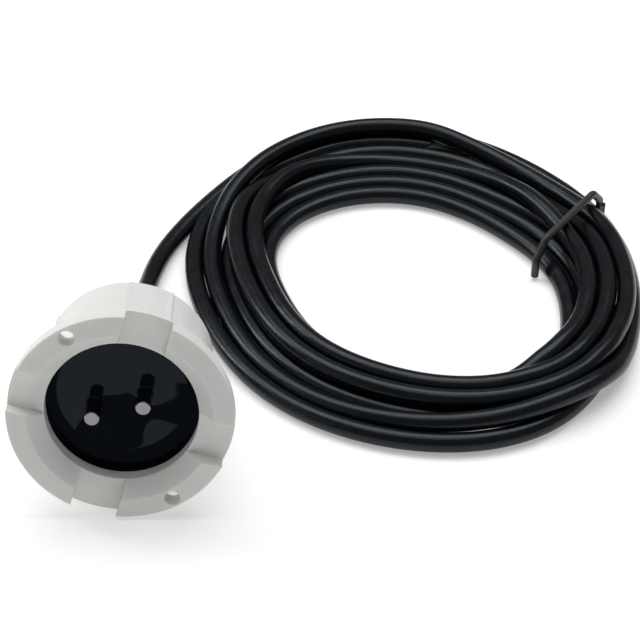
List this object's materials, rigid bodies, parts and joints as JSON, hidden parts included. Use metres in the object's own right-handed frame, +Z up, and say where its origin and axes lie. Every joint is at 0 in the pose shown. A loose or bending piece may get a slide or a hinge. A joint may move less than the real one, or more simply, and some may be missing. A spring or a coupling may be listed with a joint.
{
  "type": "water leak sensor",
  "caption": "Water leak sensor head: white flanged plastic cup, black potted face with bare steel electrode pins and drain channels, on a coiled black cable.",
  "frame": {"origin": "on the floor under the middle of the head's bounding box (cable left out)", "axes": "+Z up, +X to the right across the face, -Y the way the face looks (the face is tipped up)"},
  "size_m": [0.1341, 0.1369, 0.0449],
  "materials": {
    "white_abs": "satin",
    "black_epoxy": "gloss",
    "electrode_steel": "polished",
    "cable_black": "satin",
    "board_green": "satin",
    "chip_black": "matte",
    "resistor_black": "satin",
    "ceramic_tan": "satin",
    "can_aluminium": "satin",
    "solder_tin": "satin",
    "nylon_white": "satin",
    "tie_black": "satin",
    "core_red": "satin",
    "core_black": "satin",
    "core_yellow": "satin",
    "core_green": "satin"
  },
  "bodies": {
    "root": {"housing": "white_abs", "potting_front": "black_epoxy", "potting_rear": "black_epoxy", "electrode_left": "electrode_steel", "electrode_right": "electrode_steel", "circuit_board": "board_green", "comparator_chip": "chip_black", "voltage_regulator": "chip_black", "output_transistor": "chip_black", "protection_diode": "chip_black", "resistors": "resistor_black", "ceramic_capacitors": "ceramic_tan", "electrolytic_capacitor": "can_aluminium", "solder_joints": "solder_tin", "strain_tie": "nylon_white", "cable_bushing": "cable_black", "cable_lead": "cable_black", "cable_coil": "cable_black", "coil_tie": "tie_black", "wire_red": "core_red", "wire_black": "core_black", "wire_yellow": "core_yellow", "wire_green": "core_green", "end_core_red": "core_red", "end_core_black": "core_black", "end_core_yellow": "core_yellow", "end_core_green": "core_green", "tinned_tips": "solder_tin"}
  },
  "joints": []
}
